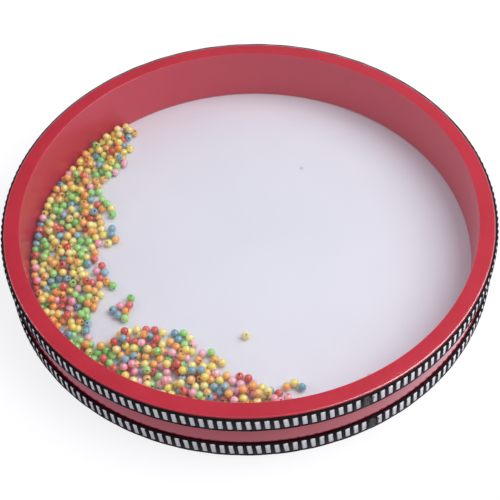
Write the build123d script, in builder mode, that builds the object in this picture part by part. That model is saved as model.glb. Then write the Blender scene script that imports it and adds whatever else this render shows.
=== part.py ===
"""Ocean drum: a painted wooden hoop between a clear and a white film head, with loose beads inside.

All sizes are in millimetres. The origin is the middle of the face that the drum rests on, and +Z runs up
through the drum's axis. Angles run anticlockwise from +X as seen from above.
"""

import heapq
import itertools
import math
import os
import random
from typing import NamedTuple

from build123d import *

# Driving dimensions: hoop and film heads
hoop_diameter = 246.4
hoop_wall = 7.9
hoop_height = 31.1
hoop_outer_round = 1.4
hoop_inner_round = 0.5
film_thickness = 0.25
glue_line = 0.03
skirt_length = 8.4

# Driving dimensions: woven braid
braid_width = 9.6
braid_inset = 0.1
braid_play = 0.04
band_thickness = 1.0
cord_diameter = 1.1
bar_width = 2.25
bar_thickness = 0.5
bar_corner = 0.7
bar_pitch = 4.17
bar_slant = 5.0
lap_length = 4.2
lap_thickness = 0.6
upper_join_angle = 292.9
lower_join_angle = 294.8

# Driving dimensions: staples under the braid
staple_crown = 9.0
staple_leg = 6.0
staple_wire_width = 0.75
staple_wire_thickness = 0.55
staple_spacing = 32.0
staple_play = 0.04

# Driving dimensions: beads
bead_diameter = 4.2
bead_hole_diameter = 1.2
bead_clearance = 0.2
bead_gap = 0.05
bead_looseness = 0.04
bead_contact_slack = 0.001
lone_bead_angle = 266.2
lone_bead_turn = (25, 10, 0)
lone_bead_clearance = 2.6

# The bank of beads: its depth in from the hoop's wall, at angles round the drum
bank_outline = [
    (127, 10), (132, 18), (138, 25), (153, 24), (160, 30), (165, 37), (177, 38), (186, 36),
    (199, 38), (204, 33), (209, 20), (218, 18), (222, 37), (230, 47), (241, 49), (253, 41),
    (258, 33), (270, 31), (274, 24), (280, 17), (285, 4),
]
bank_raggedness = 3.0
bank_void_share = 0.1
bank_void_growth = 3
bank_top_share = 0.4
bank_top_neighbours = 1.2
bank_top_spread = 0.66
bank_top_depth = 0.85
bank_seed = 11

# Beads that lie ahead of the bank: where each chain starts (angle, depth) and its colours with headings
stray_chains = [
    (157, 29, [("green", 0), ("green", 310), ("yellow", 305), ("green", 282)]),
    (170, 41, [("blue", 0), ("blue", 268), ("orange", 304), ("yellow", 211)]),
    (189, 37, [("red", 0), ("pink", 235), ("blue", 345), ("red", 240), ("orange", 329), ("green", 318)]),
    (209, 45, [("green", 0), ("red", 261), ("orange", 247), ("green", 268), ("blue", 149), ("blue", 128),
               ("pink", 33)]),
    (253, 43, [("green", 0), ("orange", 293), ("yellow", 330)]),
    (279, 24, [("orange", 0), ("yellow", 25), ("blue", 325)]),
]

# Share of each colour at the bank's first end and at its last end, and how often a colour repeats itself
bead_colours = {
    "yellow": (0.34, 0.2),
    "orange": (0.26, 0.18),
    "red": (0.09, 0.16),
    "pink": (0.1, 0.16),
    "green": (0.16, 0.17),
    "blue": (0.05, 0.13),
}
colour_repeat = 0.15

# Places worked out from the driving dimensions
hoop_radius = hoop_diameter / 2
hoop_inner_radius = hoop_radius - hoop_wall
hoop_base = film_thickness + glue_line
hoop_top = hoop_base + hoop_height
drum_height = hoop_top + glue_line + film_thickness
middle_plane = Plane.XY.offset(drum_height / 2)
skirt_inner_radius = hoop_radius + glue_line
skirt_radius = skirt_inner_radius + film_thickness

upper_braid_base = drum_height - braid_inset - braid_width
lower_braid_base = braid_inset
band_inner_radius = skirt_radius + braid_play
band_radius = band_inner_radius + band_thickness
band_width = braid_width - 2 * (cord_diameter + braid_play)
cord_centre_radius = skirt_radius + braid_play + cord_diameter / 2
bar_seat_radius = band_radius + braid_play
bar_length = band_width
bar_count = round(2 * math.pi * bar_seat_radius / bar_pitch)

staple_seat_radius = skirt_radius + staple_play
staple_reach = math.hypot(staple_seat_radius + staple_wire_thickness, staple_crown / 2)
staple_channel_radius = staple_reach + staple_play
staple_count = round(2 * math.pi * skirt_radius / staple_spacing)
staple_height = upper_braid_base + braid_width / 2
staple_leg_offset = (staple_crown - staple_wire_thickness) / 2

bead_radius = bead_diameter / 2
bead_height = film_thickness + bead_clearance + bead_radius
bank_wall_radius = hoop_inner_radius - bead_clearance
bead_step = bead_diameter + bead_gap


def polar_point(radius, angle):
    """A point in plan at a radius and an angle in degrees."""
    return radius * math.cos(math.radians(angle)), radius * math.sin(math.radians(angle))


def polar_places(radius, count, height):
    """Evenly spaced places round the drum's axis, each turned to face outwards along its own X."""
    places = []
    for index in range(count):
        angle = 360 * index / count
        places.append(Location((*polar_point(radius, angle), height), (0, 0, angle)))
    return places


# Staple: a flat wire bent into a crown and two legs, with X pointing out of the drum
with BuildPart() as staple:
    with BuildSketch(Plane.XY):
        with Locations((staple_wire_thickness / 2, 0)):
            Rectangle(staple_wire_thickness, staple_crown)
        with Locations((-staple_leg / 2, staple_leg_offset), (-staple_leg / 2, -staple_leg_offset)):
            Rectangle(staple_leg, staple_wire_thickness)
    extrude(amount=staple_wire_width / 2, both=True)

# The two slots that one staple's legs need, with play all round and past their tips
with BuildPart() as leg_slots:
    with Locations((-staple_leg / 2, staple_leg_offset, 0), (-staple_leg / 2, -staple_leg_offset, 0)):
        Box(staple_leg + 2 * staple_play, staple_wire_thickness + 2 * staple_play,
            staple_wire_width + 2 * staple_play)

staple_places = polar_places(staple_seat_radius, staple_count, staple_height)

# Staples that hold the clear head's skirt
with BuildPart() as upper_head_staples:
    with Locations(*staple_places):
        add(staple.part)

# Staples that hold the white head's skirt
with BuildPart() as lower_head_staples:
    mirror(upper_head_staples.part, about=middle_plane)

# Slots for both rows of staples
with BuildPart() as upper_slots:
    with Locations(*staple_places):
        add(leg_slots.part)
with BuildPart() as lower_slots:
    mirror(upper_slots.part, about=middle_plane)

# Hoop: bent wood, rounded on the outside where the heads fold over it
with BuildPart() as frame_hoop:
    with BuildSketch(Plane.XZ) as hoop_section:
        with Locations((hoop_inner_radius, hoop_base)):
            Rectangle(hoop_wall, hoop_height, align=(Align.MIN, Align.MIN))
        fillet(hoop_section.vertices().group_by(Axis.X)[-1], radius=hoop_outer_round)
        fillet(hoop_section.vertices().group_by(Axis.X)[0], radius=hoop_inner_round)
    revolve(axis=Axis.Z)
    add(upper_slots.part, mode=Mode.SUBTRACT)
    add(lower_slots.part, mode=Mode.SUBTRACT)

# Clear head: a disc of film that folds over the hoop's outer edge into a skirt
with BuildPart() as clear_head:
    fold_radius = hoop_radius - hoop_outer_round
    fold_height = hoop_top - hoop_outer_round
    fold_inner = hoop_outer_round + glue_line
    fold_outer = fold_inner + film_thickness
    film_under = hoop_top + glue_line
    skirt_foot = hoop_top - skirt_length
    with BuildSketch(Plane.XZ):
        with BuildLine():
            Line((0, film_under), (fold_radius, film_under))
            CenterArc((fold_radius, fold_height), fold_inner, 0, 90)
            Line((skirt_inner_radius, fold_height), (skirt_inner_radius, skirt_foot))
            Line((skirt_inner_radius, skirt_foot), (skirt_radius, skirt_foot))
            Line((skirt_radius, skirt_foot), (skirt_radius, fold_height))
            CenterArc((fold_radius, fold_height), fold_outer, 0, 90)
            Line((fold_radius, drum_height), (0, drum_height))
            Line((0, drum_height), (0, film_under))
        make_face()
    revolve(axis=Axis.Z)
    add(upper_slots.part, mode=Mode.SUBTRACT)

# White head: the same film form turned over, under the hoop
with BuildPart() as white_head:
    mirror(clear_head.part, about=middle_plane)


def braid_band(base, join_angle):
    """The braid's woven ground: a strip round the drum, hollow over the staples, with its ends lapped."""
    middle = base + braid_width / 2
    channel_width = staple_wire_width + 2 * staple_play
    lap_turn = math.degrees(lap_length / band_radius)
    with BuildPart() as band:
        with BuildSketch(Plane.XZ):
            with Locations((band_inner_radius, middle)):
                Rectangle(band_thickness, band_width, align=(Align.MIN, Align.CENTER))
            with Locations((band_inner_radius, middle)):
                Rectangle(2 * (staple_channel_radius - band_inner_radius), channel_width, mode=Mode.SUBTRACT)
        revolve(axis=Axis.Z)
        with BuildSketch(Plane.XZ.rotated((0, 0, join_angle - lap_turn / 2))):
            with Locations((band_radius, middle)):
                Rectangle(lap_thickness, band_width, align=(Align.MIN, Align.CENTER))
        revolve(axis=Axis.Z, revolution_arc=lap_turn)
    return band


def braid_cords(base):
    """The braid's two edge cords, one above and one below the woven ground."""
    with BuildPart() as cords:
        with BuildSketch(Plane.XZ):
            with Locations((cord_centre_radius, base + cord_diameter / 2),
                           (cord_centre_radius, base + braid_width - cord_diameter / 2)):
                Circle(cord_diameter / 2)
        revolve(axis=Axis.Z)
    return cords


def braid_bars(base, join_angle):
    """The braid's white bars, evenly spaced, apart from the ones that its lapped ends cover."""
    slant_reach = bar_length / 2 * math.sin(math.radians(bar_slant))
    covered = math.degrees(((lap_length + bar_width) / 2 + slant_reach) / bar_seat_radius)
    places = []
    for place in polar_places(bar_seat_radius, bar_count, base + braid_width / 2):
        turn = place.orientation.Z - join_angle
        if abs((turn + 180) % 360 - 180) > covered:
            places.append(place)
    with BuildPart() as bar:
        with BuildSketch(Plane.YZ.rotated((bar_slant, 0, 0))):
            RectangleRounded(bar_width, bar_length, bar_corner)
        extrude(amount=bar_thickness)
    with BuildPart() as bars:
        with Locations(*places):
            add(bar.part)
    return bars


upper_braid_band = braid_band(upper_braid_base, upper_join_angle)
upper_braid_cords = braid_cords(upper_braid_base)
upper_braid_bars = braid_bars(upper_braid_base, upper_join_angle)
lower_braid_band = braid_band(lower_braid_base, lower_join_angle)
lower_braid_cords = braid_cords(lower_braid_base)
lower_braid_bars = braid_bars(lower_braid_base, lower_join_angle)


class Bead(NamedTuple):
    """One bead's place in plan, the radius that it keeps to itself, its colour and its centre's height."""

    x: float
    y: float
    reach: float
    colour: str
    z: float = bead_height


class BeadBank:
    """Loose beads banked against the hoop's wall, grown inwards pocket by pocket from a seeded draw."""

    def __init__(self):
        self.draw = random.Random(bank_seed)
        self.beads = []
        self.cells = {}
        self.pockets = []
        self.cell_size = bead_step + 2 * bead_looseness

    def new_reach(self):
        """A bead's own radius with half the least gap and some looseness."""
        return bead_radius + bead_gap / 2 + bead_looseness * self.draw.random()

    def near(self, x, y):
        """The beads already placed within two cells of a point."""
        column, row = int(x // self.cell_size), int(y // self.cell_size)
        for i in range(column - 2, column + 3):
            for j in range(row - 2, row + 3):
                yield from self.cells.get((i, j), [])

    def fits(self, x, y, reach):
        """Whether a bead can lie at a point without touching another."""
        near = self.near(x, y)
        return all(math.hypot(x - b.x, y - b.y) > b.reach + reach - bead_contact_slack for b in near)

    def place(self, bead):
        """Lays a bead down and offers the pockets that it makes with the wall and its neighbours."""
        for other in list(self.near(bead.x, bead.y)):
            reach = self.new_reach()
            beside_other = (other.x, other.y, other.reach + reach)
            self.offer((bead.x, bead.y, bead.reach + reach), beside_other, reach, bead)
        reach = self.new_reach()
        self.offer((bead.x, bead.y, bead.reach + reach), (0, 0, bank_wall_radius - reach), reach, bead)
        self.beads.append(bead)
        cell = (int(bead.x // self.cell_size), int(bead.y // self.cell_size))
        self.cells.setdefault(cell, []).append(bead)

    def offer(self, first, second, reach, parent):
        """Queues both crossings of two circles (x, y, radius) as places for a bead, by their depth."""
        for x, y in circle_crossings(first, second):
            order = hoop_inner_radius - math.hypot(x, y) + bank_raggedness * self.draw.random()
            heapq.heappush(self.pockets, (order, x, y, reach, parent.colour))

    def colour_at(self, angle, neighbour):
        """A colour drawn by its share at an angle along the bank, or now and then the neighbour's."""
        if self.draw.random() < colour_repeat:
            return neighbour
        first, last = bank_outline[0][0], bank_outline[-1][0]
        along = min(max((angle - first) / (last - first), 0), 1)
        shares = [start + (end - start) * along for start, end in bead_colours.values()]
        return self.draw.choices(list(bead_colours), shares)[0]

    def grow(self):
        """Lays the stray chains, starts a row at the wall and fills the bank's outline."""
        for angle, depth, links in stray_chains:
            x, y = polar_point(hoop_inner_radius - depth, angle)
            for order, (colour, heading) in enumerate(links):
                if order:
                    move = polar_point(bead_step, heading)
                    x, y = x + move[0], y + move[1]
                self.place(Bead(x, y, bead_step / 2, colour))
        reach = self.new_reach()
        start = polar_point(bank_wall_radius - reach, (bank_outline[0][0] + bank_outline[-1][0]) / 2)
        self.place(Bead(start[0], start[1], reach, next(iter(bead_colours))))
        while self.pockets:
            _, x, y, reach, neighbour = heapq.heappop(self.pockets)
            angle = math.degrees(math.atan2(y, x)) % 360
            depth = hoop_inner_radius - math.hypot(x, y)
            limit = bank_limit(angle)
            inside = depth <= limit and math.hypot(x, y) + reach <= bank_wall_radius + bead_looseness
            if not inside or not self.fits(x, y, reach):
                continue
            if self.draw.random() < bank_void_share * (depth / limit) ** bank_void_growth:
                continue
            self.place(Bead(x, y, reach, self.colour_at(angle, neighbour)))

    def top_up(self):
        """Lets some beads ride on three touching beads of the bank."""
        riders = []
        for first in self.beads:
            span = bank_top_neighbours * bead_step
            close = [b for b in self.near(first.x, first.y) if 0 < math.dist(b[:2], first[:2]) < span]
            for second, third in itertools.combinations(close, 2):
                x, y, spread = circle_through(first, second, third)
                if spread > bank_top_spread * bead_step or self.draw.random() > bank_top_share:
                    continue
                z = bead_height + math.sqrt(bead_step ** 2 - spread ** 2)
                angle = math.degrees(math.atan2(y, x)) % 360
                depth = hoop_inner_radius - math.hypot(x, y)
                banked = bead_radius + bead_clearance < depth < bank_top_depth * bank_limit(angle)
                near = [*self.near(x, y), *riders]
                apart = bead_step - bead_contact_slack
                if banked and all(math.dist((x, y, z), (b.x, b.y, b.z)) > apart for b in near):
                    riders.append(Bead(x, y, bead_radius, self.colour_at(angle, first.colour), z))
        self.beads.extend(riders)


def circle_crossings(first, second):
    """The two points where circles (x, y, radius) cross, or none."""
    x1, y1, r1 = first
    x2, y2, r2 = second
    span = math.hypot(x2 - x1, y2 - y1)
    if span == 0 or span > r1 + r2 or span < abs(r1 - r2):
        return []
    along = (r1 ** 2 - r2 ** 2 + span ** 2) / (2 * span)
    aside = math.sqrt(max(r1 ** 2 - along ** 2, 0))
    ux, uy = (x2 - x1) / span, (y2 - y1) / span
    return [(x1 + along * ux - side * aside * uy, y1 + along * uy + side * aside * ux) for side in (1, -1)]


def circle_through(first, second, third):
    """Centre and radius of the circle through three beads' centres in plan."""
    ax, ay = second.x - first.x, second.y - first.y
    bx, by = third.x - first.x, third.y - first.y
    cross = 2 * (ax * by - ay * bx)
    if cross == 0:
        return first.x, first.y, math.inf
    x = (by * (ax ** 2 + ay ** 2) - ay * (bx ** 2 + by ** 2)) / cross
    y = (ax * (bx ** 2 + by ** 2) - bx * (ax ** 2 + ay ** 2)) / cross
    return first.x + x, first.y + y, math.hypot(x, y)


def bank_limit(angle):
    """How deep the bank is at an angle, between the outline's points, or -1 past its ends."""
    for (angle1, depth1), (angle2, depth2) in zip(bank_outline, bank_outline[1:]):
        if angle1 <= angle <= angle2:
            return depth1 + (depth2 - depth1) * (angle - angle1) / (angle2 - angle1)
    return -1


# Bead: a ball with a hole through it
with BuildPart() as bead_form:
    Sphere(bead_radius)
    Cylinder(bead_hole_diameter / 2, bead_diameter, mode=Mode.SUBTRACT)

bank = BeadBank()
bank.grow()
bank.top_up()
tumble = random.Random(bank_seed + 1)
bead_places = {colour: [] for colour in bead_colours}
for bead in bank.beads:
    turn = (tumble.uniform(0, 180), tumble.uniform(0, 180), 0)
    bead_places[bead.colour].append(Location((bead.x, bead.y, bead.z), turn))


def bead_group(places):
    """The beads of one colour."""
    with BuildPart() as group:
        with Locations(*places):
            add(bead_form.part)
    return group


# The one bead that lies by itself, nearer the middle than any bead of the bank
bank_inner_radius = min(math.hypot(bead.x, bead.y) for bead in bank.beads)
lone_bead_orbit = bank_inner_radius - bead_diameter - lone_bead_clearance
with BuildPart() as lone_bead:
    with Locations(Location((*polar_point(lone_bead_orbit, lone_bead_angle), bead_height), lone_bead_turn)):
        add(bead_form.part)

nodes = {
    "frame_hoop": frame_hoop,
    "clear_head": clear_head,
    "white_head": white_head,
    "upper_head_staples": upper_head_staples,
    "lower_head_staples": lower_head_staples,
    "upper_braid_band": upper_braid_band,
    "upper_braid_cords": upper_braid_cords,
    "upper_braid_bars": upper_braid_bars,
    "lower_braid_band": lower_braid_band,
    "lower_braid_cords": lower_braid_cords,
    "lower_braid_bars": lower_braid_bars,
    "lone_bead": lone_bead,
}
for colour, places in bead_places.items():
    nodes["beads_" + colour] = bead_group(places)

os.makedirs("parts", exist_ok=True)
for name, node in nodes.items():
    node.part.label = name
    export_step(node.part, f"parts/{name}.step")

highest_bead = max(bead.z for bead in bank.beads) + bead_radius
bead_travel = hoop_top + glue_line - bead_clearance - highest_bead
print("beads in the bank:", len(bank.beads))
print("drum height:", round(drum_height, 3), "bead travel:", round(bead_travel, 3))
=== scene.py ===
"""Looks of the ocean drum: painted hoop, film heads, woven braid and pearly beads.

Every piece is in metres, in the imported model's frame, with its place in its mesh. Places are read from the
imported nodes, so each piece lies where its solid does.
"""

import logging
import math
import random
from collections.abc import Callable, Iterator, Sequence
from contextlib import contextmanager
from dataclasses import dataclass
from enum import Enum

import bmesh
import bpy
import numpy as np
from mathutils import Matrix, Vector


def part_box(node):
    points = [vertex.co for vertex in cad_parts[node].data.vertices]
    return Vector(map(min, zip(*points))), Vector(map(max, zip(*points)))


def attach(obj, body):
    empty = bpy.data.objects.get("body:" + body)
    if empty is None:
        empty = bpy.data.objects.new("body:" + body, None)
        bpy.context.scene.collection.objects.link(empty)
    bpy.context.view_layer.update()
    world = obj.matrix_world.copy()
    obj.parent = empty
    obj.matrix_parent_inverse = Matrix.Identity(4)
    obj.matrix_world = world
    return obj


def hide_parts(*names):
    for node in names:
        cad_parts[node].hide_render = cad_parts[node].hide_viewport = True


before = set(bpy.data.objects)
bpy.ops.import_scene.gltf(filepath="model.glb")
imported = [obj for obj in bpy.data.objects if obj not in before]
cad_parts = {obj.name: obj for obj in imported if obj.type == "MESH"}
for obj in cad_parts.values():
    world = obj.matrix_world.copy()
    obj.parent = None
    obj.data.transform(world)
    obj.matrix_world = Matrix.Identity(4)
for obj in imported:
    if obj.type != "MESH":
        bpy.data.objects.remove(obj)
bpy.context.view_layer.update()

MERGE_DISTANCE = 1e-6
FULL_TURN = 2 * math.pi
WHITE = (1.0, 1.0, 1.0)
# How far outside its solid the hoop's wall is drawn, which the braid's flatter weave makes up for
WALL_GROWTH = 0.0002

log = logging.getLogger("ocean_drum")

Colour = tuple[float, float, float]
Place = tuple[float, float, float]
Pair = tuple[float, float]
Piece = bpy.types.Object
Material = bpy.types.Material
Tree = bpy.types.NodeTree
Node = bpy.types.Node
Socket = bpy.types.NodeSocket


class Element(Enum):
    """What a selection in edit mode is made of, as the select mode's three switches."""

    VERTEX = (True, False, False)
    EDGE = (False, True, False)


class Head(Enum):
    """The two film heads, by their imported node."""

    CLEAR = "clear_head"
    WHITE = "white_head"


class Trim(Enum):
    """The two rows of braid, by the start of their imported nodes' names."""

    UPPER = "upper_braid"
    LOWER = "lower_braid"


def rgb(red: int, green: int, blue: int) -> Colour:
    """Gives the linear colour of an 8-bit screen colour.

    Args:
        red: red from 0 to 255.
        green: green from 0 to 255.
        blue: blue from 0 to 255.

    Returns:
        The three linear shares.
    """
    shares = (value / 255 for value in (red, green, blue))
    # The numbers are the sRGB curve's own
    return tuple(c / 12.92 if c <= 0.04045 else ((c + 0.055) / 1.055) ** 2.4 for c in shares)


def deselect_all() -> None:
    """Clears the selection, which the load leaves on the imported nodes."""
    bpy.ops.object.select_all(action="DESELECT")


def select_only(pieces: Sequence[Piece]) -> None:
    """Selects some pieces, the first of them active."""
    deselect_all()
    for piece in pieces:
        piece.select_set(True)
    bpy.context.view_layer.objects.active = pieces[0]


def added(name: str, operator: Callable, **settings: object) -> Piece:
    """Adds a mesh primitive under a name and applies its place."""
    deselect_all()
    operator(**settings)
    bpy.ops.object.transform_apply()
    piece = bpy.context.object
    piece.name = name
    return piece


def joined(name: str, pieces: Sequence[Piece]) -> Piece:
    """Joins some pieces into the first of them, under a name."""
    select_only(pieces)
    bpy.ops.object.join()
    pieces[0].name = name
    return pieces[0]


@contextmanager
def editing(piece: Piece) -> Iterator[None]:
    """Holds a piece in edit mode for the length of a with block."""
    select_only([piece])
    bpy.ops.object.mode_set(mode="EDIT")
    yield
    bpy.ops.object.mode_set(mode="OBJECT")


def pick(piece: Piece, element: Element, test: Callable) -> None:
    """Selects the parts of an edited mesh that pass a test.

    Args:
        piece: the piece in edit mode.
        element: vertices or edges.
        test: takes one of them and says whether it is chosen.
    """
    bpy.ops.mesh.select_all(action="DESELECT")
    bpy.context.tool_settings.mesh_select_mode = element.value
    mesh = bmesh.from_edit_mesh(piece.data)
    for item in mesh.verts if element is Element.VERTEX else mesh.edges:
        if test(item):
            item.select_set(True)
    mesh.select_flush_mode()
    bmesh.update_edit_mesh(piece.data)


def drawn_line(name: str, points: Sequence[Pair], closed: bool) -> Piece:
    """Draws a line of points in the XZ plane, extruded point by point from one corner of a plane.

    Args:
        name: the piece's name.
        points: radius and height of each point.
        closed: whether the last point is joined to the first.

    Returns:
        The piece, with edges alone.
    """
    piece = added(name, bpy.ops.mesh.primitive_plane_add, size=1)
    with editing(piece):
        pick(piece, Element.VERTEX, lambda v: v.index > 0)
        bpy.ops.mesh.delete(type="VERT")
        pick(piece, Element.VERTEX, lambda v: True)
        mesh = bmesh.from_edit_mesh(piece.data)
        mesh.verts.ensure_lookup_table()
        mesh.verts[0].co = (points[0][0], 0, points[0][1])
        bmesh.update_edit_mesh(piece.data)
        for (radius, height), (next_radius, next_height) in zip(points, points[1:]):
            step = (next_radius - radius, 0, next_height - height)
            bpy.ops.mesh.extrude_region_move(TRANSFORM_OT_translate={"value": step})
        if closed:
            pick(piece, Element.VERTEX, lambda v: len(v.link_edges) == 1)
            bpy.ops.mesh.edge_face_add()
    return piece


def round_corners(piece: Piece, test: Callable, radius: float, segments: int) -> None:
    """Rounds the corners of a drawn line.

    Args:
        piece: the piece that holds the line.
        test: takes a vertex and says whether it is rounded.
        radius: the arc's radius, which is also how far it reaches along a square corner.
        segments: edges along the arc.
    """
    with editing(piece):
        pick(piece, Element.VERTEX, test)
        bpy.ops.mesh.bevel(offset=radius, segments=segments, affect="VERTICES")


def spin_round(piece: Piece, steps: int) -> None:
    """Spins a drawn line once round the drum's axis and closes the seam."""
    with editing(piece):
        bpy.ops.mesh.select_all(action="SELECT")
        bpy.ops.mesh.spin(steps=steps, angle=FULL_TURN, center=(0, 0, 0), axis=(0, 0, 1))
    close_seams(piece)


def close_seams(piece: Piece) -> None:
    """Merges a mesh's doubles and turns its faces outwards."""
    with editing(piece):
        bpy.ops.mesh.select_all(action="SELECT")
        bpy.ops.mesh.remove_doubles(threshold=MERGE_DISTANCE)
        bpy.ops.mesh.normals_make_consistent(inside=False)


def shade(piece: Piece, angle: float) -> None:
    """Shades a piece smooth across edges under an angle in degrees."""
    select_only([piece])
    bpy.ops.object.shade_smooth_by_angle(angle=math.radians(angle))


def joined_copies(name: str, pattern: Piece, places: Sequence[Matrix], tones: Sequence[float]) -> Piece:
    """Copies a modelled pattern to each place and joins the copies.

    Args:
        name: the joined piece's name.
        pattern: the piece that is copied.
        places: where each copy goes.
        tones: each copy's tone from 0 to 1, written on its points.

    Returns:
        The joined piece.
    """
    copies = []
    for place, tone in zip(places, tones):
        copy = pattern.copy()
        copy.data = pattern.data.copy()
        copy.data.transform(place)
        bpy.context.scene.collection.objects.link(copy)
        values = copy.data.attributes.new("tone", "FLOAT", "POINT")
        values.data.foreach_set("value", [tone] * len(copy.data.vertices))
        copies.append(copy)
    return joined(name, copies)


def wrap_round(piece: Piece, radius: float, middle: float) -> None:
    """Wraps a flat piece round the drum: X runs along the wall, Y up it and Z out of it.

    Args:
        piece: the flat piece.
        radius: the wall's radius, where Z is 0.
        middle: the height where Y is 0.
    """
    for vertex in piece.data.vertices:
        along, up, out = vertex.co
        angle = along / radius
        reach = radius + out
        vertex.co = (reach * math.cos(angle), reach * math.sin(angle), middle + up)


def solids_of(node: str) -> list[np.ndarray]:
    """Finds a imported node's separate solids.

    Args:
        node: the node's name.

    Returns:
        The triangles of each solid, as arrays of corners.
    """
    mesh = bmesh.new()
    mesh.from_mesh(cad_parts[node].data)
    bmesh.ops.remove_doubles(mesh, verts=mesh.verts, dist=MERGE_DISTANCE)
    solids = []
    seen = set()
    for start in mesh.faces:
        if start in seen:
            continue
        seen.add(start)
        queue = [start]
        for face in queue:
            for edge in face.edges:
                fresh = [other for other in edge.link_faces if other not in seen]
                seen.update(fresh)
                queue.extend(fresh)
        solids.append(np.array([[corner.co for corner in face.verts] for face in queue]))
    mesh.free()
    return solids


def radii_of(node: str) -> Pair:
    """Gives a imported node's least and greatest distance from the drum's axis."""
    points = np.array([vertex.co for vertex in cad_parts[node].data.vertices])
    radii = np.hypot(points[:, 0], points[:, 1])
    return float(radii.min()), float(radii.max())


class NodeSheet:
    """A shader node tree that is filled one node at a time."""

    def __init__(self, tree: Tree) -> None:
        """Takes the tree to fill."""
        self.tree = tree

    def node(self, kind: str, inputs: dict | None = None, **settings: object) -> Node:
        """Adds a node.

        Args:
            kind: the node's type, without its first word.
            inputs: socket names or numbers, each with a value or the socket that feeds it.
            settings: the node's own properties.

        Returns:
            The node.
        """
        made = self.tree.nodes.new("ShaderNode" + kind)
        for name, value in settings.items():
            setattr(made, name, value)
        for key, value in (inputs or {}).items():
            self.feed(made.inputs[key], value)
        return made

    def feed(self, socket: Socket, value: object) -> None:
        """Links a socket to another or sets its value."""
        if isinstance(value, Socket):
            self.tree.links.new(value, socket)
        elif socket.type == "RGBA":
            socket.default_value = (*value, 1.0)
        else:
            socket.default_value = value

    def math(self, operation: str, first: object, second: object = 0.0) -> Socket:
        """Gives the result of a sum on two values."""
        return self.node("Math", {0: first, 1: second}, operation=operation).outputs[0]

    def ramp(self, value: Socket, start: float, end: float, low: object, high: object) -> Socket:
        """Gives a value stretched from one range to another, kept inside it."""
        names = ("Value", "From Min", "From Max", "To Min", "To Max")
        return self.node("MapRange", dict(zip(names, (value, start, end, low, high)))).outputs[0]

    def between(self, share: Socket, low: object, high: object) -> Socket:
        """Gives the value that lies a share of the way from one to another."""
        return self.ramp(share, 0.0, 1.0, low, high)

    def weighed(self, first: Socket, second: Socket, share: float) -> Socket:
        """Gives the sum of two values, the first by its share and the second by the rest."""
        return self.math("ADD", self.math("MULTIPLY", first, share), self.math("MULTIPLY", second, 1 - share))

    def mixed(self, share: object, first: object, second: object) -> Socket:
        """Gives the mix of two colours by a share."""
        return self.node("Mix", {0: share, 6: first, 7: second}, data_type="RGBA").outputs[2]

    def object_place(self) -> Socket:
        """Gives the place on the object, in metres."""
        return self.node("TexCoord").outputs["Object"]

    def axis_distance(self, place: Socket) -> Socket:
        """Gives a place's distance from the drum's axis."""
        axes = self.node("SeparateXYZ", {0: place}).outputs
        square = self.math("ADD", self.math("POWER", axes[0], 2.0), self.math("POWER", axes[1], 2.0))
        return self.math("SQRT", square)

    def noise(self, place: Socket, scale: object, detail: float = 2.0) -> Socket:
        """Gives a cloudy value from 0 to 1."""
        return self.node("TexNoise", {"Vector": place, "Scale": scale, "Detail": detail}).outputs[0]

    def rays(self) -> tuple[Socket, Socket]:
        """Gives 1 for the camera's own rays, and 1 for mirrored and bent ones."""
        path = self.node("LightPath").outputs
        mirrored = self.math("MAXIMUM", path["Is Glossy Ray"], path["Is Transmission Ray"])
        return path["Is Camera Ray"], mirrored

    def effect(self, tree: Tree, inputs: dict) -> Node:
        """Places a shared effect with its own values."""
        return self.node("Group", inputs, node_tree=tree)

    def bump(self, height: Socket, strength: float, distance: float) -> Socket:
        """Gives the normal of a surface raised by a height."""
        values = {"Height": height, "Strength": strength, "Distance": distance}
        return self.node("Bump", values).outputs[0]


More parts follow.
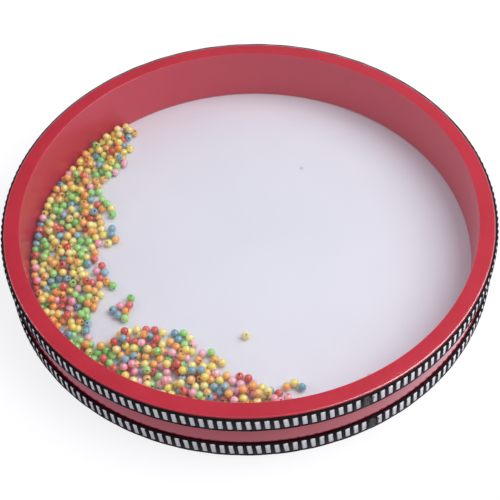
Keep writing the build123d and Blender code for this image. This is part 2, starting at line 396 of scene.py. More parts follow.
class SharedEffects:
    """Effects that several finishes use, each built once as a node group."""

    FINE_CLOUDS = 7.0
    FINE_DETAIL = 4.0
    WIDE_SHARE = 0.65
    CLOUD_RANGE = (0.3, 0.7)
    SPECK_RARITY = 6.0
    SPECK_EDGE = 0.04
    FIBRES_ACROSS = 5.0
    FIBRE_SCALE = 2.0
    FIBRE_DETAIL = 3.0
    RIDGE_SHARE = 0.75
    RIDGE_RANGE = (0.1, 0.75)

    def __init__(self) -> None:
        """Builds the groups."""
        self.mottle = self._mottle()
        self.specks = self._specks()
        self.threads = self._threads()

    @staticmethod
    def _group(name: str, inputs: dict[str, str], outputs: Sequence[str]) -> tuple[NodeSheet, dict, dict]:
        """Starts a group.

        Args:
            name: the group's name.
            inputs: each input's name with its socket type.
            outputs: the names of the values it gives.

        Returns:
            The sheet to fill, the inputs' sockets inside it and the outputs' sockets inside it.
        """
        tree = bpy.data.node_groups.new(name, "ShaderNodeTree")
        for label, kind in inputs.items():
            tree.interface.new_socket(label, in_out="INPUT", socket_type="NodeSocket" + kind)
        for label in outputs:
            tree.interface.new_socket(label, in_out="OUTPUT", socket_type="NodeSocketFloat")
        given = tree.nodes.new("NodeGroupInput").outputs
        wanted = tree.nodes.new("NodeGroupOutput").inputs
        return NodeSheet(tree), given, wanted

    def _mottle(self) -> Tree:
        """Soft unevenness: wide clouds with finer ones over them."""
        sheet, given, wanted = self._group("soft_mottle", {"Place": "Vector", "Scale": "Float"}, ["Mask"])
        wide = sheet.noise(given["Place"], given["Scale"])
        fine_scale = sheet.math("MULTIPLY", given["Scale"], self.FINE_CLOUDS)
        fine = sheet.noise(given["Place"], fine_scale, self.FINE_DETAIL)
        both = sheet.weighed(wide, fine, self.WIDE_SHARE)
        sheet.feed(wanted["Mask"], sheet.ramp(both, *self.CLOUD_RANGE, 0.0, 1.0))
        return sheet.tree

    def _specks(self) -> Tree:
        """Scattered specks of dust, no two the same size."""
        inputs = {"Place": "Vector", "Scale": "Float", "Size": "Float"}
        sheet, given, wanted = self._group("dust_specks", inputs, ["Mask"])
        cells = sheet.node("TexVoronoi", {"Vector": given["Place"], "Scale": given["Scale"]})
        chance = sheet.node("SeparateColor", {0: cells.outputs["Color"]}).outputs[0]
        reach = sheet.math("MULTIPLY", given["Size"], sheet.math("POWER", chance, self.SPECK_RARITY))
        inside = sheet.math("SUBTRACT", reach, cells.outputs["Distance"])
        sheet.feed(wanted["Mask"], sheet.ramp(inside, 0.0, self.SPECK_EDGE, 0.0, 1.0))
        return sheet.tree

    def _threads(self) -> Tree:
        """Parallel threads along a strip's own map, each with fine fibres, their grooves darkened as painted
        shade.
        """
        inputs = {"Map": "Vector", "Threads": "Float", "Lay": "Float"}
        sheet, given, wanted = self._group("laid_threads", inputs, ["Height", "Shade"])
        axes = sheet.node("SeparateXYZ", {0: given["Map"]}).outputs
        slide = sheet.math("MULTIPLY", axes[1], given["Lay"])
        across = sheet.math("ADD", sheet.math("MULTIPLY", axes[0], given["Threads"]), slide)
        ridge = sheet.math("ABSOLUTE", sheet.math("SINE", sheet.math("MULTIPLY", across, math.pi)))
        fibres = sheet.math("MULTIPLY", across, self.FIBRES_ACROSS)
        lengthwise = sheet.node("CombineXYZ", {0: fibres, 1: axes[1]}).outputs[0]
        fibre = sheet.noise(lengthwise, self.FIBRE_SCALE, self.FIBRE_DETAIL)
        height = sheet.weighed(ridge, fibre, self.RIDGE_SHARE)
        sheet.feed(wanted["Height"], height)
        # Shade is painted shade in the grooves between ridges, with the fibres' own tone in it
        sheet.feed(wanted["Shade"], sheet.ramp(height, *self.RIDGE_RANGE, 0.0, 1.0))
        return sheet.tree

    def clouds(self, sheet: NodeSheet, place: Socket, scale: float) -> Socket:
        """Places the mottle in a finish and gives its mask."""
        return sheet.effect(self.mottle, {"Place": place, "Scale": scale}).outputs["Mask"]

    def dust(self, sheet: NodeSheet, place: Socket, scale: float, size: float) -> Socket:
        """Places the specks in a finish and gives their mask."""
        return sheet.effect(self.specks, {"Place": place, "Scale": scale, "Size": size}).outputs["Mask"]


EFFECTS = SharedEffects()


class Finish:
    """A finish, which builds its own material."""

    name: str

    def surface(self, sheet: NodeSheet) -> Socket:
        """Fills the material's sheet and gives its shader."""
        raise NotImplementedError

    def material(self) -> Material:
        """Builds the material in an emptied tree."""
        material = bpy.data.materials.new(self.name)
        material.use_nodes = True
        material.node_tree.nodes.clear()
        sheet = NodeSheet(material.node_tree)
        output = sheet.node("OutputMaterial")
        sheet.feed(output.inputs["Surface"], self.surface(sheet))
        return material


@dataclass(frozen=True)
class GlossPaint(Finish):
    """Red gloss paint on wood, a little uneven, with dust nibs, a satin inner wall in paler painted light and
    painted shade along the braid.
    """

    name: str = "red_gloss_paint"
    light: Colour = rgb(200, 22, 46)
    deep: Colour = rgb(188, 14, 38)
    cloud_scale: float = 45.0
    peel_scale: float = 1100.0
    peel_bump: Pair = (0.015, 0.00006)
    nib_scale: float = 160.0
    nib_size: float = 0.25
    roughness: Pair = (0.1, 0.15)
    inner_radius: float = 0.1156
    inner_roughness: float = 0.34
    # Paler red on the inner wall is painted light, standing in for the white head's light on the wall
    inner_painted_light: Colour = rgb(206, 46, 68)
    painted_shade: Colour = rgb(62, 10, 20)
    # Heights where the painted shade over the lower braid fades, and where that under the upper one sets in
    # and stops
    painted_shade_foot: float = 0.0098
    painted_shade_top: float = 0.0118
    under_foot: float = 0.0204
    under_top: float = 0.0217
    under_end: float = 0.024

    def surface(self, sheet: NodeSheet) -> Socket:
        """Builds the paint."""
        place = sheet.object_place()
        cloud = EFFECTS.clouds(sheet, place, self.cloud_scale)
        nibs = EFFECTS.dust(sheet, place, self.nib_scale, self.nib_size)
        peel = sheet.noise(place, self.peel_scale)
        height = sheet.math("ADD", peel, nibs)
        gloss = sheet.between(cloud, *self.roughness)
        inside = sheet.math("LESS_THAN", sheet.axis_distance(place), self.inner_radius)
        height_up = sheet.node("SeparateXYZ", {0: place}).outputs[2]
        # Painted shade along the braid: the paint darkens over the lower braid and under the upper one
        over_lower = sheet.ramp(height_up, self.painted_shade_foot, self.painted_shade_top, 1.0, 0.0)
        up_to_upper = sheet.ramp(height_up, self.under_foot, self.under_top, 0.0, 1.0)
        under_upper = sheet.math("MULTIPLY", up_to_upper, sheet.math("LESS_THAN", height_up, self.under_end))
        painted_shade_share = sheet.math("MAXIMUM", over_lower, under_upper)
        outer = sheet.mixed(painted_shade_share, sheet.mixed(cloud, self.deep, self.light), self.painted_shade)
        # The inner wall's satin roughness is real; its paler red is painted light
        return sheet.node("BsdfPrincipled", {
            "Base Color": sheet.mixed(inside, outer, self.inner_painted_light),
            "Roughness": sheet.between(inside, gloss, self.inner_roughness),
            "IOR": 1.52,
            "Normal": sheet.bump(height, *self.peel_bump),
        }).outputs[0]


@dataclass(frozen=True)
class ClearFilm(Finish):
    """Clear film: glassy, a little hazy, worn along its fold, with light let through it."""

    name: str = "clear_polyester_film"
    colour: Colour = rgb(250, 249, 252)
    clarity: float = 0.992
    ripple_scale: float = 38.0
    ripple_bump: Pair = (0.03, 0.0001)
    roughness: Pair = (0.02, 0.07)
    fold_radius: float = 0.1226
    fold_roughness: float = 0.2

    def surface(self, sheet: NodeSheet) -> Socket:
        """Builds the film."""
        place = sheet.object_place()
        smear = EFFECTS.clouds(sheet, place, self.ripple_scale)
        fold = sheet.math("GREATER_THAN", sheet.axis_distance(place), self.fold_radius)
        glassy = sheet.between(smear, *self.roughness)
        film = sheet.node("BsdfPrincipled", {
            "Base Color": self.colour,
            "Roughness": sheet.between(fold, glassy, self.fold_roughness),
            "IOR": 1.5,
            "Transmission Weight": self.clarity,
            "Normal": sheet.bump(smear, *self.ripple_bump),
        })
        path = sheet.node("LightPath").outputs
        unseen = sheet.math("MAXIMUM", path["Is Shadow Ray"], path["Is Diffuse Ray"])
        clear = sheet.node("BsdfTransparent", {"Color": self.colour})
        return sheet.node("MixShader", {0: unseen, 1: film.outputs[0], 2: clear.outputs[0]}).outputs[0]


@dataclass(frozen=True)
class WhiteFilm(Finish):
    """White satin film with faint clouds, fine grain and dust."""

    name: str = "white_polyester_film"
    light: Colour = rgb(228, 233, 231)
    dull: Colour = rgb(222, 227, 226)
    dust: Colour = rgb(168, 160, 166)
    cloud_scale: float = 14.0
    dust_scale: float = 42.0
    dust_size: float = 0.12
    dust_cover: float = 0.6
    dust_shift: Place = (0.0152, -0.0263, 0.0)
    roughness: Pair = (0.38, 0.5)
    grain_scale: float = 2400.0
    grain_bump: Pair = (0.06, 0.00005)

    def surface(self, sheet: NodeSheet) -> Socket:
        """Builds the film."""
        place = sheet.object_place()
        cloud = EFFECTS.clouds(sheet, place, self.cloud_scale)
        dusty = sheet.node("VectorMath", {0: place, 1: self.dust_shift}, operation="ADD").outputs[0]
        dust = EFFECTS.dust(sheet, dusty, self.dust_scale, self.dust_size)
        ground = sheet.mixed(cloud, self.dull, self.light)
        return sheet.node("BsdfPrincipled", {
            "Base Color": sheet.mixed(sheet.math("MULTIPLY", dust, self.dust_cover), ground, self.dust),
            "Roughness": sheet.between(cloud, *self.roughness),
            "Normal": sheet.bump(sheet.noise(place, self.grain_scale), *self.grain_bump),
        }).outputs[0]


@dataclass(frozen=True)
class BraidThread(Finish):
    """Woven thread, with its lay along the strip's own map."""

    name: str
    light: Colour
    deep: Colour
    threads: float
    lay: float
    roughness: float
    sheen: float
    shine: float
    soil_scale: float = 320.0
    soil_shade: float = 0.7
    soil_roughness: float = 0.08
    ridge_bump: Pair = (0.5, 0.00015)

    def surface(self, sheet: NodeSheet) -> Socket:
        """Builds the thread."""
        strip = sheet.node("TexCoord").outputs["UV"]
        laid = sheet.effect(EFFECTS.threads, {"Map": strip, "Threads": self.threads, "Lay": self.lay}).outputs
        soil = EFFECTS.clouds(sheet, sheet.object_place(), self.soil_scale)
        # The threads' Shade darkens the grooves between them: painted shade, with the fibres' own tone
        share = sheet.math("MULTIPLY", laid["Shade"], sheet.between(soil, self.soil_shade, 1.0))
        return sheet.node("BsdfPrincipled", {
            "Base Color": sheet.mixed(share, self.deep, self.light),
            "Roughness": sheet.between(soil, self.roughness + self.soil_roughness, self.roughness),
            "Specular IOR Level": self.shine,
            "Sheen Weight": self.sheen,
            "Normal": sheet.bump(laid["Height"], *self.ridge_bump),
        }).outputs[0]


@dataclass(frozen=True)
class Pearl(Finish):
    """Pearly plastic in one colour, each bead with a tone of its own."""

    name: str
    colour: Colour
    pale: Colour
    cloud_scale: float = 420.0
    tone_share: float = 0.75
    roughness: Pair = (0.18, 0.28)

    def surface(self, sheet: NodeSheet) -> Socket:
        """Builds the pearl."""
        place = sheet.object_place()
        tone = sheet.node("Attribute", None, attribute_name="tone").outputs["Fac"]
        cloud = EFFECTS.clouds(sheet, place, self.cloud_scale)
        share = sheet.weighed(tone, cloud, self.tone_share)
        return sheet.node("BsdfPrincipled", {
            "Base Color": sheet.mixed(share, self.colour, self.pale),
            "Roughness": sheet.between(cloud, *self.roughness),
            "Subsurface Weight": 0.6,
            "Subsurface Radius": (0.0015, 0.0012, 0.001),
            "Subsurface Scale": 1.0,
            "Coat Weight": 1.0,
            "Coat Roughness": 0.1,
        }).outputs[0]


@dataclass(frozen=True)
class GalvanisedWire(Finish):
    """Dull galvanised steel wire, a little cloudy."""

    name: str = "galvanised_wire"
    bright: Colour = rgb(196, 196, 200)
    dull: Colour = rgb(150, 150, 156)
    cloud_scale: float = 700.0
    roughness: Pair = (0.3, 0.45)

    def surface(self, sheet: NodeSheet) -> Socket:
        """Builds the steel."""
        place = sheet.object_place()
        cloud = EFFECTS.clouds(sheet, place, self.cloud_scale)
        return sheet.node("BsdfPrincipled", {
            "Base Color": sheet.mixed(cloud, self.dull, self.bright),
            "Metallic": 1.0,
            "Roughness": sheet.between(cloud, *self.roughness),
        }).outputs[0]


@dataclass(frozen=True)
class StudioFloor(Finish):
    """Pale floor: white with a faint shadow to look at, and mirrored with a painted pool of light, brighter
    towards the key lamp.
    """

    name: str = "pale_floor"
    colour: Colour = rgb(168, 168, 170)
    glow: float = 0.42
    light: Colour = (1.84, 1.84, 1.84)
    # Painted reflection of a lit floor: dimmer on the left, brighter on the key lamp's side
    mirrored_shade_side: Colour = (0.45, 0.45, 0.55)
    mirrored_lit_side: Colour = (1.45, 1.45, 1.65)
    reach: float = 0.1

    def surface(self, sheet: NodeSheet) -> Socket:
        """Builds the floor's finish."""
        seen, mirrored = sheet.rays()
        matt = sheet.node("BsdfDiffuse", {"Color": self.colour})
        across = sheet.node("SeparateXYZ", {0: sheet.object_place()}).outputs[0]
        # What the floor mirrors is painted light, dim on the left and bright on the right
        side = sheet.ramp(across, -self.reach, self.reach, 0.0, 1.0)
        painted_reflection = sheet.mixed(side, self.mirrored_shade_side, self.mirrored_lit_side)
        glow = sheet.node("Emission", {"Color": sheet.mixed(mirrored, self.light, painted_reflection)})
        share = sheet.math("MAXIMUM", sheet.math("MULTIPLY", seen, self.glow), mirrored)
        return sheet.node("MixShader", {0: share, 1: matt.outputs[0], 2: glow.outputs[0]}).outputs[0]


def dress(piece: Piece, material: Material) -> None:
    """Gives a piece one material."""
    piece.data.materials.clear()
    piece.data.materials.append(material)


def settle(piece: Piece, material: Material, body: str, nodes: Sequence[str] = ()) -> None:
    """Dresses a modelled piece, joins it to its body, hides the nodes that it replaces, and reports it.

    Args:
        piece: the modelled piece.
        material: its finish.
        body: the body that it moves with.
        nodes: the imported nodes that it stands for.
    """
    dress(piece, material)
    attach(piece, body)
    if nodes:
        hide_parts(*nodes)
    log.info("%s: %d faces on %s", piece.name, len(piece.data.polygons), body)


@dataclass
class Hoop:
    """The bent-wood hoop."""

    node: str = "frame_hoop"
    outer_round: float = 0.0008
    inner_round: float = 0.0005
    round_steps: int = 5
    steps: int = 384

    def build(self) -> None:
        """Models the hoop: its section with rounded edges, spun round the axis."""
        low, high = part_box(self.node)
        inner, outer = radii_of(self.node)
        outer += WALL_GROWTH
        corners = [(inner, low.z), (outer, low.z), (outer, high.z), (inner, high.z)]
        hoop = drawn_line("painted_hoop", corners, closed=True)
        middle = (inner + outer) / 2
        round_corners(hoop, lambda v: v.co.x > middle, self.outer_round, self.round_steps)
        round_corners(hoop, lambda v: v.co.x < middle, self.inner_round, self.round_steps)
        spin_round(hoop, self.steps)
        shade(hoop, angle=40)
        settle(hoop, GlossPaint().material(), "drum", [self.node])


@dataclass
class FilmHead:
    """One film head: a stretched disc that folds over the hoop's edge into a skirt."""

    head: Head
    finish: Finish
    slot: str
    thickness: float = 0.00025
    foot_trim: float = 0.0006
    fold_round: float = 0.00105
    fold_steps: int = 8
    support: float = 0.0004
    steps: int = 384

    def build(self) -> None:
        """Models the head: its line from the middle to the skirt's foot, spun and given its thickness."""
        low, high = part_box(self.head.value)
        upwards = self.head is Head.CLEAR
        face, foot = (high.z, low.z + self.foot_trim) if upwards else (low.z, high.z - self.foot_trim)
        radius = high.x + WALL_GROWTH
        flat_end = radius - self.fold_round - self.support
        line = [(0, face), (radius / 2, face), (flat_end, face), (radius, face), (radius, foot)]
        film = drawn_line(self.head.value + "_film", line, closed=False)
        beside = flat_end + self.support / 2
        round_corners(film, lambda v: v.co.x > beside and abs(v.co.z - face) < MERGE_DISTANCE,
                      self.fold_round, self.fold_steps)
        spin_round(film, self.steps)
        self._face_out(film, upwards)
        select_only([film])
        shell = film.modifiers.new("shell", "SOLIDIFY")
        shell.thickness = self.thickness
        shell.offset = -1.0
        bpy.ops.object.modifier_apply(modifier=shell.name)
        shade(film, angle=40)
        settle(film, self.finish.material(), "drum", [self.head.value])

    @staticmethod
    def _face_out(film: Piece, upwards: bool) -> None:
        """Turns an open film's faces to its outer side, so that its thickness goes inwards."""
        middle = min(film.data.polygons, key=lambda polygon: Vector(polygon.center[:2]).length)
        if (middle.normal.z > 0) != upwards:
            film.data.flip_normals()


@dataclass
class Braid:
    """One row of braid: black ground, white bars, black floats, twisted edge cords and a frayed join."""

    trim: Trim
    white: Material
    black: Material
    frayed: Material
    bar_width: float = 0.0025
    bar_rise: float = 0.0003
    bar_trim: float = 0.0006
    float_width: float = 0.0019
    float_rise: float = 0.0006
    float_overlap: float = 0.0004
    end_pull: float = 0.2
    end_taper: float = 0.12
    side_sag: float = 0.04
    ridge_depth: float = 0.2
    slant: float = 5.0
    slant_spread: float = 1.6
    place_spread: float = 0.00007
    width_range: Pair = (0.94, 1.04)
    length_range: Pair = (0.96, 1.02)
    threads: int = 3
    seat_depth: float = 0.00015
    ground_rise: float = 0.00055
    ground_steps: int = 2
    cord_depth: float = 0.0005
    cord_height: float = 0.0006
    cord_inset: float = 0.00045
    cord_lift: float = 0.0001
    cord_turns: int = 3
    cord_segments: int = 5
    cord_sides: int = 8
    cord_twist: float = 0.25
    pad_bars: float = 1.5
    pad_threads: int = 4
    pad_tone: float = 0.5
    fibres: int = 70
    fibre_radius: float = 0.00009
    fibre_taper: float = 0.6
    fibre_bow: float = 0.3
    fibre_spread: float = 0.7
    fibre_reach: float = 0.36
    fibre_lean: float = 0.5
    fibre_rise: Pair = (0.5, 0.8)
    fibre_size: Pair = (0.5, 1.1)
    seed: int = 5

    def __post_init__(self) -> None:
        """Reads the row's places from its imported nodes."""
        self.draw = random.Random(self.seed + len(self.trim.value))
        self.bar_node = self._named("bars")
        self.cord_node = self._named("cords")
        self.band_node = self._named("band")
        low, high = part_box(self.band_node)
        self.middle = (low.z + high.z) / 2
        self.bar_length = high.z - low.z
        self.wall = radii_of(self.band_node)[0] + WALL_GROWTH
        self.seat = self.wall + self.ground_rise
        self.angles = sorted(self._angle(solid) for solid in solids_of(self.bar_node))
        gaps = sorted(b - a for a, b in zip(self.angles, self.angles[1:]))
        self.count = round(FULL_TURN / gaps[len(gaps) // 2])
        self.pitch = FULL_TURN / self.count

    def build(self) -> None:
        """Models all the row's pieces."""
        edge_low, edge_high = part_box(self.cord_node)
        cord_heights = (edge_low.z + self.cord_inset, edge_high.z - self.cord_inset)
        self._ground(*cord_heights)
        self._bars()
        self._floats()
        self._cords(*cord_heights)
        self._join()

    @staticmethod
    def _angle(solid: np.ndarray) -> float:
        """Gives the angle round the drum of a solid's middle."""
        x, y, _ = solid.reshape(-1, 3).mean(0)
        return math.atan2(y, x) % FULL_TURN

    def _join_angle(self) -> float:
        """Finds where the braid's ends meet: the widest gap between two bars."""
        pairs = zip(self.angles, [*self.angles[1:], self.angles[0] + FULL_TURN])
        start, end = max(pairs, key=lambda pair: pair[1] - pair[0])
        return (start + end) / 2

    def _named(self, part: str) -> str:
        """Gives the name of one of the row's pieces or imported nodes."""
        return f"{self.trim.value}_{part}"

    def _ground(self, bottom: float, top: float) -> None:
        """Models the woven ground as a crowned strip."""
        section = [(self.wall, bottom), (self.seat, bottom), (self.seat, top), (self.wall, top)]
        ground = drawn_line(self._named("ground"), section, closed=True)
        halfway = (self.wall + self.seat) / 2
        round_corners(ground, lambda v: v.co.x > halfway, self.seat_depth, self.ground_steps)
        spin_round(ground, 2 * self.count)
        shade(ground, angle=50)
        settle(ground, self.black, "drum", [self.band_node])

    def _pillow(self, name: str, width: float, length: float, rise: float, threads: int) -> Piece:
        """Models one flat bundle of threads: a grid raised into ridges, with sides and a back.

        Args:
            name: the piece's name.
            width: its size along the wall.
            length: its size up the wall.
            rise: how far it stands out.
            threads: how many ridges it has.

        Returns:
            The bundle, lying in the XY plane at the origin.
        """
        pillow = added(name, bpy.ops.mesh.primitive_grid_add, size=1,
                       x_subdivisions=2 * threads, y_subdivisions=4)
        with editing(pillow):
            pick(pillow, Element.EDGE, lambda e: e.is_boundary)
            down = {"value": (0, 0, -self.seat_depth)}
            bpy.ops.mesh.extrude_region_move(TRANSFORM_OT_translate=down)
            bpy.ops.mesh.edge_face_add()
        for vertex in pillow.data.vertices:
            x, y, z = vertex.co
            side, end = abs(2 * x), abs(2 * y)
            ridge = (1 - self.ridge_depth) + self.ridge_depth * abs(math.sin(math.pi * threads * (x + 0.5)))
            lift = rise * ridge if max(side, end) < 1 else min(z, 0)
            up = math.copysign(end ** self.end_pull, y) / 2
            across = width * x * (1 - self.end_taper * end ** 4)
            vertex.co = (across, length * up * (1 - self.side_sag * side ** 2), lift)
        close_seams(pillow)
        shade(pillow, angle=70)
        return pillow

    def _row(self, name: str, pattern: Piece, angles: Sequence[float], drop: float = 0.0) -> Piece:
        """Copies a bundle to each angle round the drum, a little unevenly, and wraps the row.

        Args:
            name: the row's name.
            pattern: the bundle, which is used up.
            angles: where the copies go.
            drop: how far the row lies below the braid's middle.

        Returns:
            The row.
        """
        places = []
        tones = []
        for angle in angles:
            shift = Matrix.Translation((angle * self.seat, self.draw.gauss(0, self.place_spread), 0))
            slant = self.slant + self.draw.gauss(0, self.slant_spread)
            lean = Matrix.Rotation(math.radians(slant), 4, "Z")
            width = self.draw.uniform(*self.width_range)
            length = self.draw.uniform(*self.length_range)
            places.append(shift @ lean @ Matrix.Diagonal((width, length, 1, 1)))
            tones.append(self.draw.random())
        row = joined_copies(name, pattern, places, tones)
        bpy.data.objects.remove(pattern)
        wrap_round(row, self.seat, self.middle - drop)
        return row

    def _bars(self) -> None:
        """Models the white bars, one on each packed bar, cut short at the top in the upper row."""
        cut = self.bar_trim if self.trim is Trim.UPPER else 0.0
        length = self.bar_length - cut
        pattern = self._pillow("bar_pattern", self.bar_width, length, self.bar_rise, self.threads)
        bars = self._row(self._named("white_bars"), pattern, self.angles, cut / 2)
        settle(bars, self.white, "drum", [self.bar_node])

    def _floats(self) -> None:
        """Models the black floats, halfway between the bars and over the cords' inner sides."""
        length = self.bar_length + 2 * self.float_overlap
        pattern = self._pillow("float_pattern", self.float_width, length, self.float_rise, self.threads)
        first = self.angles[0] + self.pitch / 2
        angles = [first + n * self.pitch for n in range(self.count)]
        floats = self._row(self._named("black_floats"), pattern, angles)
        settle(floats, self.black, "drum")

    def _cords(self, bottom: float, top: float) -> None:
        """Models the edge cords, flat and two-ply: the lower one stands out, the upper one lies close."""
        turns = self.cord_turns * self.count
        tall = self.cord_height / self.cord_depth
        cords = []
        for height, seat in ((bottom, self.seat), (top, self.wall)):
            middle = seat + self.cord_lift
            cord = added(
                "cord", bpy.ops.mesh.primitive_torus_add,
                major_segments=turns * self.cord_segments, minor_segments=self.cord_sides,
                major_radius=middle, minor_radius=self.cord_depth / 2, location=(0, 0, height))
            for vertex in cord.data.vertices:
                x, y, z = vertex.co
                angle = math.atan2(y, x)
                out, up = math.hypot(x, y) - middle, z - height
                lobe = 1 + self.cord_twist * math.cos(2 * math.atan2(up, out) - turns * angle)
                reach = middle + out * lobe
                vertex.co = (reach * math.cos(angle), reach * math.sin(angle), height + up * lobe * tall)
            cords.append(cord)
        pair = joined(self._named("edge_cords"), cords)
        shade(pair, angle=60)
        settle(pair, self.black, "drum", [self.cord_node])

    def _join(self) -> None:
        """Models the lapped end where the braid meets itself: a worn pad with loose fibres over it."""
        middle = self._join_angle() * self.seat
        pad_width = self.pad_bars * self.bar_width
        pad = self._pillow("join_pad", pad_width, self.bar_length, self.float_rise, self.pad_threads)
        fibre = self._fibre()
        parts = [joined_copies("join_pads", pad, [Matrix.Translation((middle, 0, 0))], [self.pad_tone])]
        places = []
        for _ in range(self.fibres):
            along = middle + self.draw.gauss(0, self.fibre_spread * self.bar_width)
            up = self.draw.uniform(-self.fibre_reach, self.fibre_reach) * self.bar_length
            lean = Matrix.Rotation(self.draw.gauss(0, self.fibre_lean), 4, "Z")
            rise = Matrix.Translation((along, up, self.float_rise * self.draw.uniform(*self.fibre_rise)))
            size = Matrix.Diagonal((1, self.draw.uniform(*self.fibre_size), 1, 1))
            places.append(rise @ lean @ size)
        parts.append(joined_copies("join_fibres", fibre, places, [self.draw.random() for _ in places]))
        bpy.data.objects.remove(pad)
        bpy.data.objects.remove(fibre)
        join = joined(self._named("frayed_join"), parts)
        wrap_round(join, self.seat, self.middle)
        settle(join, self.frayed, "drum")

    def _fibre(self) -> Piece:
        """Models one loose fibre: a thin prism that bows outwards."""
        fibre = added("fibre", bpy.ops.mesh.primitive_cylinder_add, vertices=4, radius=self.fibre_radius,
                      depth=self.bar_length / 2, rotation=(math.pi / 2, 0, 0))
        half = self.bar_length / 4
        with editing(fibre):
            pick(fibre, Element.EDGE, lambda e: abs(e.verts[0].co.y - e.verts[1].co.y) > half)
            bpy.ops.mesh.subdivide(number_cuts=2)
        for vertex in fibre.data.vertices:
            share = vertex.co.y / half
            thin = 1 - self.fibre_taper * abs(share)
            vertex.co.x *= thin
            vertex.co.z = vertex.co.z * thin + self.float_rise * self.fibre_bow * (1 - share ** 2)
        shade(fibre, angle=60)
        return fibre


@dataclass
class BeadColour:
    """One colour of bead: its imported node, slot, body and finish."""

    node: str
    slot: str
    body: str
    finish: Pearl


@dataclass
class PearlBeads:
    """All the loose beads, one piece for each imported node."""

    colours: list[BeadColour]
    hole_share: float = 0.32
    sides: int = 10
    rings: int = 6
    lip: float = 0.06
    bore_share: float = 0.75
    seed: int = 21

    def build(self) -> None:
        """Models one bead and lays a copy on each packed bead."""
        draw = random.Random(self.seed)
        low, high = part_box("lone_bead")
        radius = max(high - low) / 2
        bead = self._bead(radius)
        for colour in self.colours:
            places = [self._place(solid, radius) for solid in solids_of(colour.node)]
            tones = [draw.random() for _ in places]
            beads = joined_copies("pearl_" + colour.node, bead, places, tones)
            settle(beads, colour.finish.material(), colour.body, [colour.node])
        bpy.data.objects.remove(bead)

    def _bead(self, radius: float) -> Piece:
        """Models one bead: a ball with its poles cut off, dished lips and a bore between them."""
        bead = added("bead_pattern", bpy.ops.mesh.primitive_uv_sphere_add, segments=self.sides,
                     ring_count=self.rings, radius=radius)
        hole = radius * self.hole_share
        with editing(bead):
            pick(bead, Element.VERTEX, lambda v: math.hypot(v.co.x, v.co.y) < hole / 2)
            bpy.ops.mesh.delete(type="VERT")
            pick(bead, Element.EDGE, lambda e: e.is_boundary)
            rim = max(math.hypot(v.co.x, v.co.y) for v in bmesh.from_edit_mesh(bead.data).verts if v.select)
            bpy.ops.mesh.extrude_region_move(TRANSFORM_OT_translate={"value": (0, 0, 0)})
            shrink = hole / rim
            bpy.ops.transform.resize(value=(shrink, shrink, 1 + self.lip))
            bpy.ops.mesh.bridge_edge_loops()
        close_seams(bead)
        shade(bead, angle=75)
        return bead

    def _place(self, solid: np.ndarray, radius: float) -> Matrix:
        """Finds a packed bead's middle and the way that its hole runs.

        Args:
            solid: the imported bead's triangles.
            radius: a bead's radius.

        Returns:
            The place that lays a bead on it.
        """
        points = solid.reshape(-1, 3)
        middle = (points.min(0) + points.max(0)) / 2
        reach = np.linalg.norm(solid.mean(1) - middle, axis=1)
        bore = solid[reach < self.bore_share * radius].reshape(-1, 3) - middle
        _, axes = np.linalg.eigh(bore.T @ bore)
        turn = Vector((0, 0, 1)).rotation_difference(Vector(axes[:, -1]))
        return Matrix.Translation(Vector(middle)) @ turn.to_matrix().to_4x4()


@dataclass
class SoftBox:
    """One soft studio lamp."""

    name: str
    place: Place
    size: float
    power: float
    colour: Colour = WHITE

    def build(self) -> None:
        """Hangs the lamp, facing the drum."""
        bpy.ops.object.light_add(type="AREA", location=self.place)
        lamp = bpy.context.object
        lamp.name = self.name
        lamp.rotation_euler = (-Vector(self.place)).to_track_quat("-Z", "Y").to_euler()
        lamp.data.size = self.size
        lamp.data.energy = self.power
        lamp.data.color = self.colour


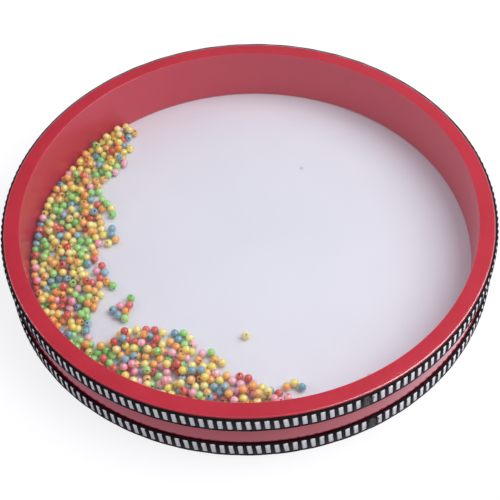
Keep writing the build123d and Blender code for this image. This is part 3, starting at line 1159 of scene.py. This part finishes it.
@dataclass
class Studio:
    """Pale floor, soft lamps, plain surroundings and the camera."""

    floor_size: float = 6.0
    floor_drop: float = 0.00005
    sky_colour: Colour = (0.97, 0.97, 1.09)
    sky_low: float = 0.24
    sky_high: float = 0.8
    horizon: float = 0.85
    ceiling_left: float = 0.09
    ceiling: float = 0.18
    ceiling_rise: float = 0.5
    ceiling_span: Pair = (-0.25, 0.05)
    camera_place: Place = (-0.00018, -0.36288, 0.44168)
    camera_elevation: float = 50.89
    camera_roll: float = -2.469
    camera_lens: float = 77.97
    camera_sensor: float = 36.0
    camera_near: float = 0.01
    lamps: tuple[SoftBox, ...] = (
        SoftBox("key_lamp", (0.6, -0.02, 0.85), size=0.8, power=8.8),
        SoftBox("edge_lamp", (-0.92, 0.14, 0.6), size=0.25, power=0.9),
    )

    def build(self) -> None:
        """Sets the stage."""
        self._floor()
        self._surroundings()
        self._camera()
        for lamp in self.lamps:
            lamp.build()
        bpy.context.scene.view_settings.view_transform = "Standard"

    def _floor(self) -> None:
        """Lays the floor a little below the drum."""
        floor = added("floor", bpy.ops.mesh.primitive_plane_add, size=self.floor_size,
                      location=(0, 0, -self.floor_drop))
        dress(floor, StudioFloor().material())

    def _surroundings(self) -> None:
        """Makes the surroundings: white to look at, dim overhead to mirror, brightest there as light."""
        world = bpy.data.worlds.new("studio")
        world.use_nodes = True
        world.node_tree.nodes.clear()
        sheet = NodeSheet(world.node_tree)
        direction = sheet.node("TexCoord").outputs["Generated"]
        across, _, rise = sheet.node("SeparateXYZ", {0: direction}).outputs
        seen, mirrored = sheet.rays()
        sky = sheet.between(rise, self.sky_low, self.sky_high)
        overhead = sheet.ramp(across, *self.ceiling_span, self.ceiling_left, self.ceiling)
        mirror = sheet.ramp(rise, 0.0, self.ceiling_rise, self.horizon, overhead)
        unseen = sheet.between(mirrored, sky, mirror)
        strength = sheet.between(seen, unseen, 1.0)
        tint = sheet.mixed(seen, self.sky_colour, WHITE)
        light = sheet.node("Background", {"Color": tint, "Strength": strength})
        sheet.feed(sheet.node("OutputWorld").inputs["Surface"], light.outputs[0])
        bpy.context.scene.world = world

    def _camera(self) -> None:
        """Stands the camera where the photograph was taken from."""
        camera = bpy.data.objects.new("camera", bpy.data.cameras.new("camera"))
        bpy.context.scene.collection.objects.link(camera)
        tilt = Matrix.Rotation(math.radians(90 - self.camera_elevation), 4, "X")
        roll = Matrix.Rotation(math.radians(self.camera_roll), 4, "Z")
        camera.matrix_world = Matrix.Translation(self.camera_place) @ tilt @ roll
        camera.data.lens = self.camera_lens
        camera.data.sensor_width = self.camera_sensor
        camera.data.clip_start = self.camera_near
        bpy.context.scene.camera = camera


WHITE_THREAD = BraidThread(
    "white_satin_thread", light=rgb(255, 254, 253), deep=rgb(240, 237, 238),
    threads=6.0, lay=0.4, roughness=0.42, sheen=0.1, shine=0.5)
BLACK_THREAD = BraidThread(
    "black_satin_thread", light=rgb(38, 31, 34), deep=rgb(13, 9, 11),
    threads=6.0, lay=0.4, roughness=0.6, sheen=0.0, shine=0.12)
FRAYED_THREAD = BraidThread(
    "frayed_grey_thread", light=rgb(108, 108, 106), deep=rgb(26, 26, 27),
    threads=8.0, lay=0.8, roughness=0.65, sheen=0.1, shine=0.2)

PEARLS = {
    "yellow": (rgb(253, 230, 92), rgb(255, 248, 168)),
    "orange": (rgb(255, 168, 64), rgb(255, 212, 128)),
    "red": (rgb(206, 72, 56), rgb(230, 120, 98)),
    "pink": (rgb(252, 158, 174), rgb(255, 208, 214)),
    "green": (rgb(124, 214, 100), rgb(196, 246, 154)),
    "blue": (rgb(106, 166, 178), rgb(164, 206, 210)),
}


def bead_colours() -> list[BeadColour]:
    """Lists the beads by colour, and the lone bead, which is yellow."""
    colours = []
    for name, pair in PEARLS.items():
        pearl = Pearl(f"{name}_pearl", *pair)
        colours.append(BeadColour(f"beads_{name}", f"{name}_bead", "bead_bank", pearl))
    lone = Pearl("lone_yellow_pearl", *PEARLS["yellow"])
    return [*colours, BeadColour("lone_bead", "yellow_bead", "lone_bead", lone)]


def dress_staples() -> None:
    """Gives the staples, which stay as packed, their wire."""
    wire = GalvanisedWire().material()
    for node in ("upper_head_staples", "lower_head_staples"):
        dress(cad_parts[node], wire)


def main() -> None:
    """Builds the drum's looks and the stage."""
    logging.basicConfig(level=logging.INFO, format="%(name)s %(message)s")
    Studio().build()
    Hoop().build()
    FilmHead(Head.CLEAR, ClearFilm(), "clear_film").build()
    FilmHead(Head.WHITE, WhiteFilm(), "white_film").build()
    white, black, frayed = (thread.material() for thread in (WHITE_THREAD, BLACK_THREAD, FRAYED_THREAD))
    for trim in Trim:
        Braid(trim, white, black, frayed).build()
    PearlBeads(bead_colours()).build()
    dress_staples()


if __name__ == "__main__":
    main()
